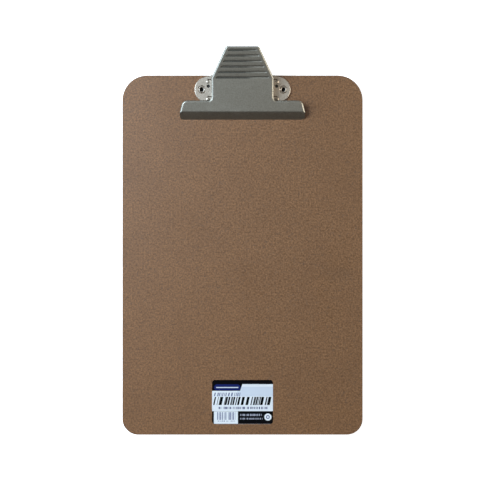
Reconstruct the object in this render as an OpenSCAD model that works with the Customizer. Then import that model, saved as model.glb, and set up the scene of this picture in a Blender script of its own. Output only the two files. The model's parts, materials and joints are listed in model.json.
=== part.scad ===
// Hardboard clipboard with a sprung steel lever clip.
// The board lies flat: X across it, Y towards the clip, Z up from its back face.
// The origin is the centre of the board's back face.

/* [Board] */
// Width of the board
board_w = 230; // [200:1:260]
// Length of the board, bottom edge to top edge
board_l = 344; // [280:1:380]
// Thickness of the hardboard sheet
board_t = 3.2; // [2.8:0.1:4]
// Radius of the two corners beside the clip
top_corner_r = 24; // [5:1:40]
// Radius of the two corners away from the clip
bottom_corner_r = 15; // [5:1:40]

/* [Label] */
// Width of the paper label
label_w = 58.3; // [30:0.1:80]
// Height of the paper label
label_h = 42.2; // [20:0.1:60]
// Radius of the label's corners
label_r = 2.9; // [0:0.1:6]
// Thickness of the label
label_t = 0.12; // [0.1:0.01:0.2]
// Gap from the board's bottom edge to the label
label_gap = 10.2; // [5:0.1:40]

/* [Base plate] */
// Distance from the board's top edge down to the line of the rivets
rivet_drop = 13.7; // [13:0.1:16]
// Distance between the two rivets
rivet_pitch = 78; // [76:0.5:80]
// Radius of the plate's round ears
ear_r = 12.2; // [11.5:0.1:13]
// Width of the plate across both ears
ear_span = 91.8; // [90:0.1:94]
// Thickness of the plate's steel
plate_t = 0.8; // [0.7:0.05:0.9]
// Height of the plate's underside above the board, inside its turned-down rim
plate_rise = 1.0; // [0.8:0.05:1.1]

/* [Lever] */
// Width of the jaw bar
jaw_w = 119.4; // [100:0.2:130]
// Width of the lever's body, outside its flanges
body_w = 59.2; // [59:0.1:60]
// Width of the handle at its tip
tip_w = 31.2; // [24:0.1:40]
// Thickness of the lever's steel
sheet_t = 1.0; // [0.8:0.05:1]
// Height of the jaw's bend line above the board
jaw_h = 7.2; // [7:0.05:7.4]
// Slope of the body, in degrees
body_slope = 14; // [14:0.1:14.5]
// Slope of the handle, in degrees
handle_slope = 20; // [18:0.5:26]
// Number of grooves pressed across the handle
groove_count = 6; // [3:1:6]
// Distance between the grooves, measured flat along Y
groove_pitch = 4.92; // [4:0.02:5]

/* [Hinge] */
// Radius of the hinge pin
pin_r = 1.5; // [1.4:0.05:1.6]
// Height of the hinge pin's axis above the board
pin_h = 7.2; // [7.1:0.05:7.3]
// Running clearance round the pin in the lever's flanges
pin_clearance = 0.06; // [0.02:0.01:0.1]
// Angle at which the flanges land on the base plate, in degrees
open_angle = 26; // [20:1:26]

/* [Spring] */
// Diameter of the spring's wire
wire_d = 1.5; // [1.2:0.1:1.5]
// Radius of the coil, to the middle of the wire
coil_r = 3.3; // [3.1:0.05:3.3]
// Whole turns in the coil
coil_turns = 7; // [4:1:9]
// Distance from one turn to the next
coil_pitch = 1.7; // [1.6:0.05:2]

/* [Hidden] */
$fn = 64;

hardboard = [0.52, 0.41, 0.32];
paper = [0.80, 0.85, 0.92];
bright_plate = [0.72, 0.72, 0.70];
satin_plate = [0.50, 0.50, 0.47];
rivet_steel = [0.66, 0.66, 0.64];
spring_steel = [0.38, 0.38, 0.38];

arc_steps = 12;                      // facets in a quarter of a rounded outline
board_top_y = board_l / 2;
rivet_x = rivet_pitch / 2;
rivet_y = board_top_y - rivet_drop;

// Rivets: a flat head let into the back, a hollow shank rolled over on the ear
shank_r = 2.0;
shank_clearance = 0.05;
hollow_r = 1.65;
hollow_floor_z = 1.8;
head_r = 4.25;
head_t = 0.8;
head_gap = 0.05;                     // how far the head lies below the back face
head_recess_r = 4.4;
collar_r = 3.0;
collar_t = 0.95;

// Base plate: a shallow pan with its rim on the board
plate_z = board_t + plate_rise;
plate_top_z = plate_z + plate_t;
ear_x = ear_span / 2 - ear_r;
plate_half_w = 30.5;                 // where the ears' straight edges start
plate_front = 14;                    // from the rivets' line towards the jaw
plate_back = rivet_drop;             // as far as the board's top edge
seat_r = 3.7;                        // dimple that holds each rivet's collar
pilot_x = 32.6;
pilot_y = rivet_y + 3.2;
pilot_r = 1.6;
boss_r = 1.7;
boss_h = 0.7;
boss_x = 33.1;
boss_front_y = rivet_y - 9.2;
boss_back_y = rivet_y + 7.4;

// Hinge: two lugs turned up from the plate, the pin through them and the lever
hinge_y = rivet_y + 1.2;
hinge_z = board_t + pin_h;
lug_x = 27.3;                        // inner face of a lug
lug_t = plate_t;
lug_r = 3.8;
lug_front = 7.4;                     // foot of a lug, in front of the pin
lug_back = 5.4;                      // and behind it, clear of the lever's flanges
lug_shoulder_z = plate_top_z + 1.4;
lug_round_angle = 20;                // where a lug's sloping sides meet its round top
lug_clearance = 0.03;
window_x = 16;                       // inner end of the opening a lug was cut from
relief_w = 0.8;
relief_x = 33.4;                     // outer end of the cuts beside a lug
relief_front_y = hinge_y - lug_front - relief_w / 2;
relief_back_y = rivet_y + 9.7;
pin_head_r = 2.6;
pin_head_t = 0.7;
pin_head_gap = 0.15;

// Lever's side view: lip, body and handle
lip_y = rivet_y - 28.7;
lip_gap = 0.1;
jaw_bend_y = rivet_y - 21.8;
jaw_bend_z = board_t + jaw_h;
handle_bend_y = rivet_y + 9.4;        // where the handle starts and its sides close in
tip_y = rivet_y + 38.1;
shoulder_y = rivet_y - 11.2;         // rear edge of the jaw bar
handle_bend_z = jaw_bend_z + (handle_bend_y - jaw_bend_y) * tan(body_slope);
tip_z = handle_bend_z + (tip_y - handle_bend_y) * tan(handle_slope);
lip_angle = atan2(jaw_bend_z - board_t - lip_gap, jaw_bend_y - lip_y);

// Lever's flange, turned down all round but at the lip
flange_gap = 0.3;                    // left under a flange at its stop
flange_r = hinge_z - plate_top_z - flange_gap;
flange_kink_y = board_top_y + 2;
tip_flange_h = 3.5;
bar_flange_h = 3.6;                  // on the jaw bar, over the thickness of the sheet
jaw_corner_r = 3.8;
lip_corner_r = 3.6;
tip_corner_r = 2.2;
jaw_taper = 2.8;                     // narrowing of the jaw bar at its shoulder
shoulder_fillet_r = 3;
corner_steps = 6;
taper_slope = (tip_w - body_w) / 2 / (tip_y - handle_bend_y);
taper_turn = sqrt(1 + taper_slope * taper_slope);
jaw_slope = jaw_taper / (shoulder_y - jaw_bend_y);
jaw_turn = sqrt(1 + jaw_slope * jaw_slope);
flange_front_angle = 232;            // where the flange leaves its arc about the hinge, towards the jaw

// Grooves across the handle
groove_r = 1.25;
groove_depth = 0.45;
groove_start_y = handle_bend_y + 0.5;
groove_margin = 3.8;                 // plain metal left at each end of a groove

// Points along an arc about c, from angle a to angle b
function arc(c, r, a, b, steps = arc_steps) =
    [for (i = [0:steps]) c + r * [cos(a + (b - a) * i / steps), sin(a + (b - a) * i / steps)]];

// Where the tangent from point p touches the circle about the origin, on the side that side (1 or -1) picks
function tangent_angle(p, r, side) = atan2(p.y, p.x) - side * acos(r / norm(p));

// Mirrors a list of points from +X to -X and runs it the other way round
function mirrored(points) = [for (i = [len(points) - 1:-1:0]) [-points[i].x, points[i].y]];

// Half of the lever's width at a place along Y on the handle
function handle_half_w(y) = body_w / 2 + taper_slope * (y - handle_bend_y);

// Height of the top of the body or handle at a place along Y
function web_top_z(y) = y < handle_bend_y
    ? jaw_bend_z + (y - jaw_bend_y) * tan(body_slope)
    : handle_bend_z + (y - handle_bend_y) * tan(handle_slope);

// Rounded rectangle with its own radius at the top and the bottom
module rounded_outline(w, l, top_r, bottom_r) {
    right = concat(
        arc([w / 2 - bottom_r, bottom_r - l / 2], bottom_r, -90, 0),
        arc([w / 2 - top_r, l / 2 - top_r], top_r, 0, 90));
    polygon(concat(right, mirrored(right)));
}

// Extrudes a side view, drawn as (y, z), along X from x0 to x1
module along_x(x0, x1) {
    translate([x0, 0, 0])
        rotate([90, 0, 90])
            linear_extrude(x1 - x0) children();
}

// A cylinder along X, centred on (y, z)
module rod(x0, x1, y, z, r) {
    translate([x0, y, z])
        rotate([0, 90, 0])
            cylinder(h = x1 - x0, r = r);
}

module board() {
    color(hardboard)
        difference() {
            linear_extrude(board_t)
                rounded_outline(board_w, board_l, top_corner_r, bottom_corner_r);
            for (side = [-1, 1])
                translate([side * rivet_x, rivet_y, 0]) {
                    translate([0, 0, -1])
                        cylinder(h = board_t + 2, r = shank_r + shank_clearance);
                    translate([0, 0, -1])
                        cylinder(h = 1 + head_gap + head_t, r = head_recess_r);
                }
        }
}

module label() {
    color(paper)
        translate([0, label_gap + label_h / 2 - board_l / 2, board_t])
            linear_extrude(label_t)
                rounded_outline(label_w, label_h, label_r, label_r);
}

// Outline of the base plate, taken in by inset all round
module plate_outline(inset = 0) {
    r = ear_r - inset;
    front = [plate_half_w, inset - plate_front];
    back = [plate_half_w, plate_back - inset];
    ear = [ear_x, 0];
    right = concat(
        [front],
        arc(ear, r, tangent_angle(front - ear, r, -1), tangent_angle(back - ear, r, 1), 2 * arc_steps),
        [back]);
    translate([0, rivet_y])
        polygon(concat(right, mirrored(right)));
}

// Shallow dome pressed up from the plate
module boss() {
    sphere_r = (boss_r * boss_r + boss_h * boss_h) / (2 * boss_h);
    intersection() {
        translate([0, 0, boss_h - sphere_r]) sphere(r = sphere_r);
        translate([-boss_r, -boss_r, -plate_t / 2]) cube([2 * boss_r, 2 * boss_r, plate_t + boss_h]);
    }
}

// Lug turned up from the plate, in side view
module lug_profile() {
    side_y = lug_r * cos(lug_round_angle);
    side_z = hinge_z + lug_r * sin(lug_round_angle);
    translate([hinge_y, 0])
        polygon([
            [-lug_front, plate_z], [lug_back, plate_z], [lug_back, lug_shoulder_z],
            [side_y, side_z], [-side_y, side_z],
            [-lug_front, lug_shoulder_z]]);
    translate([hinge_y, hinge_z])
        circle(r = lug_r);
}

// Everything cut from the right half of the plate
module plate_cuts() {
    translate([window_x, hinge_y - lug_front, plate_z - 1])
        cube([lug_x - window_x, lug_front + lug_back, plate_t + 2]);
    for (y = [relief_front_y, relief_back_y])
        translate([window_x, y - relief_w / 2, plate_z - 1])
            cube([relief_x - window_x, relief_w, plate_t + 2]);
    translate([pilot_x, pilot_y, plate_z - 1])
        cylinder(h = plate_t + 2, r = pilot_r);
    translate([rivet_x, rivet_y, board_t + plate_t])
        cylinder(h = plate_rise + 1, r = seat_r);
    translate([rivet_x, rivet_y, board_t - 1])
        cylinder(h = plate_t + 2, r = shank_r + shank_clearance);
}

module base_plate() {
    color(bright_plate)
        union() {
            difference() {
                union() {
                    difference() {
                        translate([0, 0, board_t])
                            linear_extrude(plate_rise + plate_t) plate_outline();
                        translate([0, 0, board_t - 1])
                            linear_extrude(plate_rise + 1) plate_outline(plate_t);
                    }
                    for (side = [-1, 1])
                        translate([side * rivet_x, rivet_y, board_t])
                            cylinder(h = plate_rise + plate_t / 2, r = seat_r + plate_t);
                }
                plate_cuts();
                mirror([1, 0, 0]) plate_cuts();
            }
            for (side = [-1, 1], y = [boss_front_y, boss_back_y])
                translate([side * boss_x, y, plate_top_z]) boss();
            difference() {
                union() {
                    along_x(lug_x, lug_x + lug_t) lug_profile();
                    along_x(-lug_x - lug_t, -lug_x) lug_profile();
                }
                rod(-lug_x - 2, lug_x + 2, hinge_y, hinge_z, pin_r + lug_clearance);
            }
        }
}

module rivet() {
    color(rivet_steel)
        translate([0, rivet_y, 0])
            difference() {
                union() {
                    translate([0, 0, head_gap]) cylinder(h = head_t, r = head_r);
                    translate([0, 0, head_gap]) cylinder(h = board_t + plate_t - head_gap, r = shank_r);
                    translate([0, 0, board_t + plate_t]) cylinder(h = collar_t, r = collar_r);
                }
                translate([0, 0, hollow_floor_z]) cylinder(h = board_t + plate_t + collar_t, r = hollow_r);
            }
}

module rivet_left() {
    translate([-rivet_x, 0, 0]) rivet();
}

module rivet_right() {
    translate([rivet_x, 0, 0]) rivet();
}

module hinge_pin() {
    head_x = body_w / 2 + pin_head_gap;
    color(rivet_steel)
        union() {
            rod(-head_x - pin_head_t / 2, head_x + pin_head_t / 2, hinge_y, hinge_z, pin_r);
            rod(head_x, head_x + pin_head_t, hinge_y, hinge_z, pin_head_r);
            rod(-head_x - pin_head_t, -head_x, hinge_y, hinge_z, pin_head_r);
        }
}

// Torsion spring: stations along the wire as [x, y, z, angle of the coil's radius].
// The upper leg bears on the lever's underside, the lower leg on the base plate.
coil_steps = 24;                     // stations in one turn
wire_sides = 8;
leg_gap = 0.05;
web_distance = (web_top_z(hinge_y) - hinge_z) * cos(body_slope) - sheet_t;
upper_leg_l = 9.6;
lower_leg_l = 11;
upper_leg_tilt = asin((web_distance - coil_r - wire_d / 2 - leg_gap) / upper_leg_l);
lower_leg_tilt = asin((hinge_z - coil_r - wire_d / 2 - leg_gap - plate_top_z) / lower_leg_l);
coil_start = 90 + body_slope + upper_leg_tilt;
coil_end = 360 * coil_turns - 90 - lower_leg_tilt;
coil_half_l = coil_pitch * (coil_end - coil_start) / 720;

// A point of a leg at a distance out from the coil; way is 1 on the upper leg and -1 on the lower one
function leg_station(x, angle, out, way) =
    [x, hinge_y + coil_r * cos(angle) + way * out * sin(angle),
        hinge_z + coil_r * sin(angle) - way * out * cos(angle), angle];

function coil_station(angle) =
    [coil_pitch * (angle - coil_start) / 360 - coil_half_l,
        hinge_y + coil_r * cos(angle), hinge_z + coil_r * sin(angle), angle];

wire_path = concat(
    [leg_station(-coil_half_l, coil_start, upper_leg_l, 1)],
    [for (i = [0:floor((coil_end - coil_start) / 360 * coil_steps)])
        coil_station(coil_start + i * 360 / coil_steps)],
    [coil_station(coil_end), leg_station(coil_half_l, coil_end, lower_leg_l, -1)]);

module torsion_spring() {
    n = wire_sides;
    rings = len(wire_path);
    points = [for (s = wire_path, k = [0:n - 1])
        [s[0], s[1], s[2]] + wire_d / 2 * (cos(360 * k / n) * [0, cos(s[3]), sin(s[3])]
            + sin(360 * k / n) * [1, 0, 0])];
    skin = [for (i = [0:rings - 2], k = [0:n - 1])
        [i * n + k, i * n + (k + 1) % n, (i + 1) * n + (k + 1) % n, (i + 1) * n + k]];
    caps = [[for (k = [n - 1:-1:0]) k], [for (k = [0:n - 1]) (rings - 1) * n + k]];
    color(spring_steel)
        polyhedron(points = points, faces = concat(skin, caps), convexity = 10);
}

// Plan of the lever, jaw bar, body and handle, taken in by inset all round
module lever_plan(inset = 0) {
    bar = jaw_w / 2;
    bar_centre_y = shoulder_y - jaw_corner_r;
    bar_centre_x = bar - jaw_slope * (bar_centre_y - jaw_bend_y) - jaw_corner_r * jaw_turn;
    side = body_w / 2;
    fillet_centre = [side + shoulder_fillet_r, shoulder_y + shoulder_fillet_r];
    tip_centre_y = tip_y - tip_corner_r;
    tip_centre_x = handle_half_w(tip_centre_y) - tip_corner_r * taper_turn;
    right = concat(
        arc([bar - lip_corner_r, lip_y + lip_corner_r], lip_corner_r - inset, -90, 0, corner_steps),
        [[bar - inset * jaw_turn, jaw_bend_y]],
        arc([bar_centre_x, bar_centre_y], jaw_corner_r - inset, atan(jaw_slope), 90, corner_steps),
        arc(fillet_centre, shoulder_fillet_r + inset, -90, -180, corner_steps),
        [[side - inset, handle_bend_y + inset * (taper_turn - 1) / taper_slope]],
        arc([tip_centre_x, tip_centre_y], tip_corner_r - inset, atan(-taper_slope), 90, corner_steps));
    polygon(concat(right, mirrored(right)));
}

// Side view of the lever's sheet: lip, body and handle, sheet_t thick
module sheet_profile() {
    drop = sheet_t / cos(body_slope);
    handle_drop = sheet_t / cos(handle_slope);
    lip_run = sheet_t / sin(lip_angle);
    // Where the undersides of the lip and the body meet
    inner_y = (jaw_bend_y * tan(lip_angle) - jaw_bend_y * tan(body_slope) + lip_run * tan(lip_angle) - drop)
        / (tan(lip_angle) - tan(body_slope));
    inner_z = jaw_bend_z + (inner_y - jaw_bend_y) * tan(body_slope) - drop;
    polygon([
        [lip_y, board_t + lip_gap], [lip_y + lip_run, board_t + lip_gap], [inner_y, inner_z],
        [handle_bend_y, handle_bend_z - drop], [tip_y, tip_z - handle_drop],
        [tip_y, tip_z], [handle_bend_y, handle_bend_z], [jaw_bend_y, jaw_bend_z]]);
}

// Side view of the flange all round the lever: shallow on the jaw bar, round the hinge at the body,
// and shallow again at the handle's tip
module flange_profile() {
    back_angle = 270 + open_angle;
    kink_z = hinge_z + flange_r * sin(back_angle)
        + (flange_kink_y - hinge_y - flange_r * cos(back_angle)) * tan(open_angle);
    polygon(concat(
        [[jaw_bend_y, jaw_bend_z - sheet_t / 2], [jaw_bend_y, jaw_bend_z - bar_flange_h],
         [shoulder_y, web_top_z(shoulder_y) - bar_flange_h]],
        arc([hinge_y, hinge_z], flange_r, flange_front_angle, back_angle),
        [[flange_kink_y, kink_z], [tip_y, tip_z - tip_flange_h], [tip_y, tip_z - sheet_t / 2],
         [handle_bend_y, handle_bend_z - sheet_t / 2]]));
}

// The flange turned down all round the lever behind its lip
module flange() {
    intersection() {
        linear_extrude(tip_z + 1)
            difference() {
                lever_plan();
                lever_plan(sheet_t);
            }
        along_x(-jaw_w, jaw_w) flange_profile();
    }
}

// One groove across the handle, at a place along Y
module groove(y) {
    half_l = handle_half_w(y) - groove_margin;
    slope = y < handle_bend_y ? body_slope : handle_slope;
    rise = groove_r - groove_depth;
    rod(-half_l, half_l, y - rise * sin(slope), web_top_z(y) + rise * cos(slope), groove_r);
}

module lever() {
    color(satin_plate)
        difference() {
            union() {
                intersection() {
                    linear_extrude(tip_z + 1) lever_plan();
                    along_x(-jaw_w, jaw_w) sheet_profile();
                }
                flange();
            }
            rod(-jaw_w, jaw_w, hinge_y, hinge_z, pin_r + pin_clearance);
            for (i = [0:groove_count - 1])
                groove(groove_start_y + i * groove_pitch);
        }
}

board();
label();
base_plate();
rivet_left();
rivet_right();
hinge_pin();
torsion_spring();
lever();
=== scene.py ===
"""A hardboard clipboard with a sprung steel lever clip, dressed for rendering.

The board lies on its back: X across it, Y towards the clip, Z up, in metres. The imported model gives
the places and sizes, and every piece here is modelled over the node that it replaces.
"""
import json
import math

import bmesh
import bpy
from mathutils import Matrix, Vector


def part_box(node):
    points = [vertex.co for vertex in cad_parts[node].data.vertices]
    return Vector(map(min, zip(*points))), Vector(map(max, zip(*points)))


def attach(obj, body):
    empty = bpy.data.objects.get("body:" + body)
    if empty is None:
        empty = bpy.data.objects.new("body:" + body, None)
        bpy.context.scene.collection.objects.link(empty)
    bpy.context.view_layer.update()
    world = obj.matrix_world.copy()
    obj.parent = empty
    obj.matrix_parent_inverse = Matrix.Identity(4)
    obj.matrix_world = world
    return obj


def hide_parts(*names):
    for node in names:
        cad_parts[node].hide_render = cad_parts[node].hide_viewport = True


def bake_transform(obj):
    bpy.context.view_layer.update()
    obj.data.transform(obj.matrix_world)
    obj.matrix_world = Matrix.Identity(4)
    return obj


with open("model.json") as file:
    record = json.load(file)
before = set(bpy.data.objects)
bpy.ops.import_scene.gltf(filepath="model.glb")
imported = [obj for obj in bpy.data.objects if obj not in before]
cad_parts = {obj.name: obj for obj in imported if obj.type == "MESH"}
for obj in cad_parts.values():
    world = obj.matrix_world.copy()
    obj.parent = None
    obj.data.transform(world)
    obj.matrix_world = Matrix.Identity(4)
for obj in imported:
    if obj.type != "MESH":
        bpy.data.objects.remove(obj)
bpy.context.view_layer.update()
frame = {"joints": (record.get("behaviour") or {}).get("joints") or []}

MM = 0.001

# ---------------------------------------------------------------- places and sizes
# Capitals are sizes that are chosen here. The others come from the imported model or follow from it.

board_lo, board_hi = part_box("board")
label_lo, label_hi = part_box("label")
plate_lo, plate_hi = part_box("base_plate")
lever_lo, lever_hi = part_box("lever")
pin_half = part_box("hinge_pin")[1].x
hinge = Vector(frame["joints"][0]["pos_m"])
board_top = board_hi.z
rivets = {side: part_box("rivet_" + side) for side in ("left", "right")}
rivet_y = (rivets["left"][0].y + rivets["left"][1].y) / 2
rivet_x = (rivets["right"][0].x + rivets["right"][1].x) / 2

BOARD_BODY = "board_assembly"
LEVER_BODY = "clip_lever"

TOP_CORNER_R = 24 * MM
BOTTOM_CORNER_R = 15 * MM
BOARD_EASE = 0.45 * MM              # wear on the board's edges
SHANK_HOLE_R = 2.05 * MM            # through the board and the plate
HEAD_RECESS_R = 4.4 * MM
HEAD_RECESS_H = 0.85 * MM

LABEL_CORNER_R = 2.9 * MM
LABEL_EASE = 0.03 * MM

HOLLOW_R = 1.65 * MM                # inside the rivets' open ends
HOLLOW_FLOOR = 2.0 * MM
ROLL_H = 0.95 * MM                  # height of a rivet's rolled end
ROLL_IN = 1.1 * MM                  # how far down its hollow the roll reaches

SHEET = 1.0 * MM                    # the lever's steel
BODY_SLOPE = math.radians(14)
BODY_HALF = 29.6 * MM
TIP_HALF = 15.6 * MM
BAR_TAPER = 2.8 * MM                # the bar's back edge is shorter than its front by this at each end
BAR_FLANGE_H = 3.6 * MM
TIP_FLANGE_H = 3.5 * MM
FLANGE_R = 5.1 * MM                 # flange's lower edge round the hinge
FOLD_R = 2.0 * MM                   # outside of the bend between the web and its flange
LIP_BEND_R = 1.3 * MM
LIP_CORNER = 3.6 * MM
SHOULDER_R = 3.8 * MM               # the jaw bar's back corners
WAIST_R = 3.0 * MM                  # where the jaw bar meets the body
TIP_R = 2.3 * MM
LEVER_BORE_R = 1.56 * MM
LEVER_EASE = 0.14 * MM
open_angle = math.radians(frame["joints"][0]["range_deg"][1])
bar_half = lever_hi.x
bend_y = lever_lo.y + 6.9 * MM      # where the lip turns down
shoulder_y = lever_lo.y + 17.5 * MM
handle_y = lever_lo.y + 38.1 * MM
bend_z = board_top + 7.2 * MM
shoulder_z = bend_z + (shoulder_y - bend_y) * math.tan(BODY_SLOPE)
handle_z = bend_z + (handle_y - bend_y) * math.tan(BODY_SLOPE)
side_slope = (TIP_HALF - BODY_HALF) / (lever_hi.y - handle_y)
side_turn = math.hypot(1, side_slope)

PLATE_T = 0.8 * MM
PLATE_RIM_R = 0.6 * MM
PLATE_EASE = 0.12 * MM
PLATE_EDGE_X = 30.5 * MM            # half the length of the plate's straight edges
EAR_R = 12.2 * MM
PAD_R = 4.5 * MM                    # the metal round a rivet
PILOT_X = 32.6 * MM
PILOT_R = 1.6 * MM
WINDOW_X = 16 * MM                  # inner end of the windows that the lugs leave
LUG_X = 27.3 * MM
LUG_FOOT_H = 1.4 * MM
LUG_HEAD_R = 3.8 * MM
LUG_BORE_R = 1.53 * MM
SLOT_END_X = 33.4 * MM
SLOT_W = 0.8 * MM
BOSS_X = 33.1 * MM
BOSS_STEP = 16.6 * MM
BOSS_SUNK = 0.3 * MM
plate_top = board_top + 1.8 * MM
ear_x = plate_hi.x - EAR_R
pilot_y = rivet_y + 3.2 * MM
lug_front, lug_back = hinge.y - 7.4 * MM, hinge.y + 5.4 * MM
slot_y = lug_front - SLOT_W
slot_step = rivet_y + 9.3 * MM - slot_y
boss_y = rivet_y - 9.2 * MM

PAST = MM                           # how far a cutting tool passes the piece that it cuts


# ---------------------------------------------------------------- modelling helpers

def object_mode():
    if bpy.context.object and bpy.context.object.mode != "OBJECT":
        bpy.ops.object.mode_set(mode="OBJECT")


def only(obj):
    """Selects one object and nothing else."""
    object_mode()
    bpy.ops.object.select_all(action="DESELECT")
    obj.select_set(True)
    bpy.context.view_layer.objects.active = obj


def added(name):
    """Names the primitive that was just added, and puts its place and size into its mesh."""
    obj = bpy.context.object
    obj.name = obj.data.name = name
    bpy.ops.object.transform_apply(location=True, rotation=True, scale=True)
    return obj


def block(name, lo, hi):
    """A box between two corners."""
    object_mode()
    bpy.ops.object.select_all(action="DESELECT")
    lo, hi = Vector(lo), Vector(hi)
    bpy.ops.mesh.primitive_cube_add(size=1, location=(lo + hi) / 2, scale=hi - lo)
    return added(name)


def rod(name, start, end, radius, sides=48):
    """A cylinder from one point to another."""
    object_mode()
    bpy.ops.object.select_all(action="DESELECT")
    start, end = Vector(start), Vector(end)
    turn = (end - start).to_track_quat("Z", "Y").to_euler()
    bpy.ops.mesh.primitive_cylinder_add(
        vertices=sides, radius=radius, depth=(end - start).length, location=(start + end) / 2, rotation=turn)
    return added(name)


def edit(obj, kind):
    """Opens a mesh for editing, with nothing selected. kind is VERT, EDGE or FACE."""
    only(obj)
    bpy.ops.object.mode_set(mode="EDIT")
    bpy.ops.mesh.select_mode(type=kind)
    bpy.ops.mesh.select_all(action="DESELECT")


def pick(kind, test):
    """Selects what passes the test in the mesh that is open, and nothing else."""
    mesh = bpy.context.object.data
    bpy.ops.mesh.select_mode(type=kind)
    bpy.ops.mesh.select_all(action="DESELECT")
    shape = bmesh.from_edit_mesh(mesh)
    for part in {"VERT": shape.verts, "EDGE": shape.edges, "FACE": shape.faces}[kind]:
        if test(part):
            part.select_set(True)
    bmesh.update_edit_mesh(mesh)


def near(a, b, tolerance=0.02 * MM):
    return abs(a - b) < tolerance


def ends(edge):
    return [v.co for v in edge.verts]


def push(x=0.0, y=0.0, z=0.0):
    bpy.ops.transform.translate(value=(x, y, z))


def extrude(x=0.0, y=0.0, z=0.0):
    bpy.ops.mesh.extrude_region_move(TRANSFORM_OT_translate={"value": (x, y, z)})


def round_edges(radius, segments, turn=math.pi / 2):
    """Rounds the selected edges. turn is the angle between the faces' normals."""
    bpy.ops.mesh.bevel(
        offset_type="OFFSET", offset=radius * math.tan(turn / 2), segments=segments, profile=0.5,
        affect="EDGES", clamp_overlap=True)


def apply_modifier(obj, kind, **settings):
    only(obj)
    modifier = obj.modifiers.new(kind.lower(), kind)
    for name, value in settings.items():
        setattr(modifier, name, value)
    bpy.ops.object.modifier_apply(modifier=modifier.name)


def cut(obj, *tools, operation="DIFFERENCE"):
    """Cuts the tools out of a piece, or with UNION joins them to it. The tools are used up."""
    for tool in tools:
        apply_modifier(obj, "BOOLEAN", operation=operation, object=tool, solver="EXACT")
        bpy.data.objects.remove(tool, do_unlink=True)


def soften(obj, width, segments=2, angle=40):
    """Takes the sharpness off a piece's edges."""
    apply_modifier(
        obj, "BEVEL", width=width, segments=segments, limit_method="ANGLE",
        angle_limit=math.radians(angle), use_clamp_overlap=True)


def shade(obj, angle=35):
    """Smooths a piece's rounded edges and keeps its flat faces flat."""
    only(obj)
    bpy.ops.object.shade_smooth_by_angle(angle=math.radians(angle))
    apply_modifier(obj, "WEIGHTED_NORMAL", keep_sharp=True)


def strip(name, x0, x1, profile):
    """A sheet from x0 to x1 that follows a profile of (y, z) points."""
    (y, z), (next_y, next_z) = profile[:2]
    object_mode()
    bpy.ops.object.select_all(action="DESELECT")
    bpy.ops.mesh.primitive_plane_add(size=1, location=((x0 + x1) / 2, (y + next_y) / 2, z))
    # the operator ignores a scale of its own, so it is set on the object
    bpy.context.object.scale = (x1 - x0, next_y - y, 1)
    sheet = added(name)
    edit(sheet, "EDGE")
    pick("EDGE", lambda e: all(near(p.y, next_y) for p in ends(e)))
    push(z=next_z - z)
    for (y, z), (next_y, next_z) in zip(profile[1:], profile[2:]):
        extrude(y=next_y - y, z=next_z - z)
    return sheet


def hull(name, *pieces):
    """Joins pieces and stretches a skin round them all."""
    only(pieces[0])
    for piece in pieces[1:]:
        piece.select_set(True)
    bpy.ops.object.join()
    pieces[0].name = pieces[0].data.name = name
    bpy.ops.object.mode_set(mode="EDIT")
    bpy.ops.mesh.select_all(action="SELECT")
    bpy.ops.mesh.convex_hull()
    bpy.ops.mesh.select_all(action="SELECT")
    bpy.ops.mesh.dissolve_limited(angle_limit=math.radians(0.5))
    face_outwards()
    object_mode()
    return pieces[0]


def face_outwards():
    bpy.ops.mesh.select_all(action="SELECT")
    bpy.ops.mesh.normals_make_consistent(inside=False)


def copied(piece, name, x=0.0, y=0.0, mirrored=False):
    """A copy of a piece with its own mesh, moved along, or mirrored in the board's middle plane."""
    twin = piece.copy()
    twin.data = piece.data.copy()
    twin.name = twin.data.name = name
    bpy.context.scene.collection.objects.link(twin)
    edit(twin, "VERT")
    bpy.ops.mesh.select_all(action="SELECT")
    if mirrored:
        bpy.ops.transform.resize(value=(-1, 1, 1), center_override=(0, 0, 0))
        face_outwards()
    push(x=x, y=y)
    object_mode()
    return twin


def turned(name, centre, axis, rings, sides=48):
    """A turned piece: rings of (radius, distance along the axis), closed at both ends."""
    object_mode()
    bpy.ops.object.select_all(action="DESELECT")
    radius, place = rings[0]
    bpy.ops.mesh.primitive_circle_add(
        vertices=sides, radius=radius, fill_type="NGON", location=(0, 0, place))
    obj = added(name)
    edit(obj, "EDGE")
    bpy.ops.mesh.select_all(action="SELECT")
    for next_radius, next_place in rings[1:]:
        extrude(z=next_place - place)
        bpy.ops.transform.resize(value=(next_radius / radius, next_radius / radius, 1))
        radius, place = next_radius, next_place
    bpy.ops.mesh.edge_face_add()
    face_outwards()
    object_mode()
    turn = Vector(axis).to_track_quat("Z", "Y").to_matrix().to_4x4()
    obj.data.transform(Matrix.Translation(centre) @ turn)
    return obj


def rings_from(height, *sizes, way=1):
    """Rings for turned(), from (radius, distance) in millimetres, up from a height or, with way -1, down."""
    return [(radius * MM, height + way * distance * MM) for radius, distance in sizes]


def arc(centre, radius, start, end, steps):
    """Points along an arc, with its angles in degrees."""
    angles = [math.radians(start + (end - start) * i / steps) for i in range(steps + 1)]
    return [(centre[0] + radius * math.cos(a), centre[1] + radius * math.sin(a)) for a in angles]


def hand_over(obj, body, slot, *nodes):
    """Hands a finished piece to the frame."""
    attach(obj, body)
    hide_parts(*nodes)


# ---------------------------------------------------------------- board and label

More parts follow.
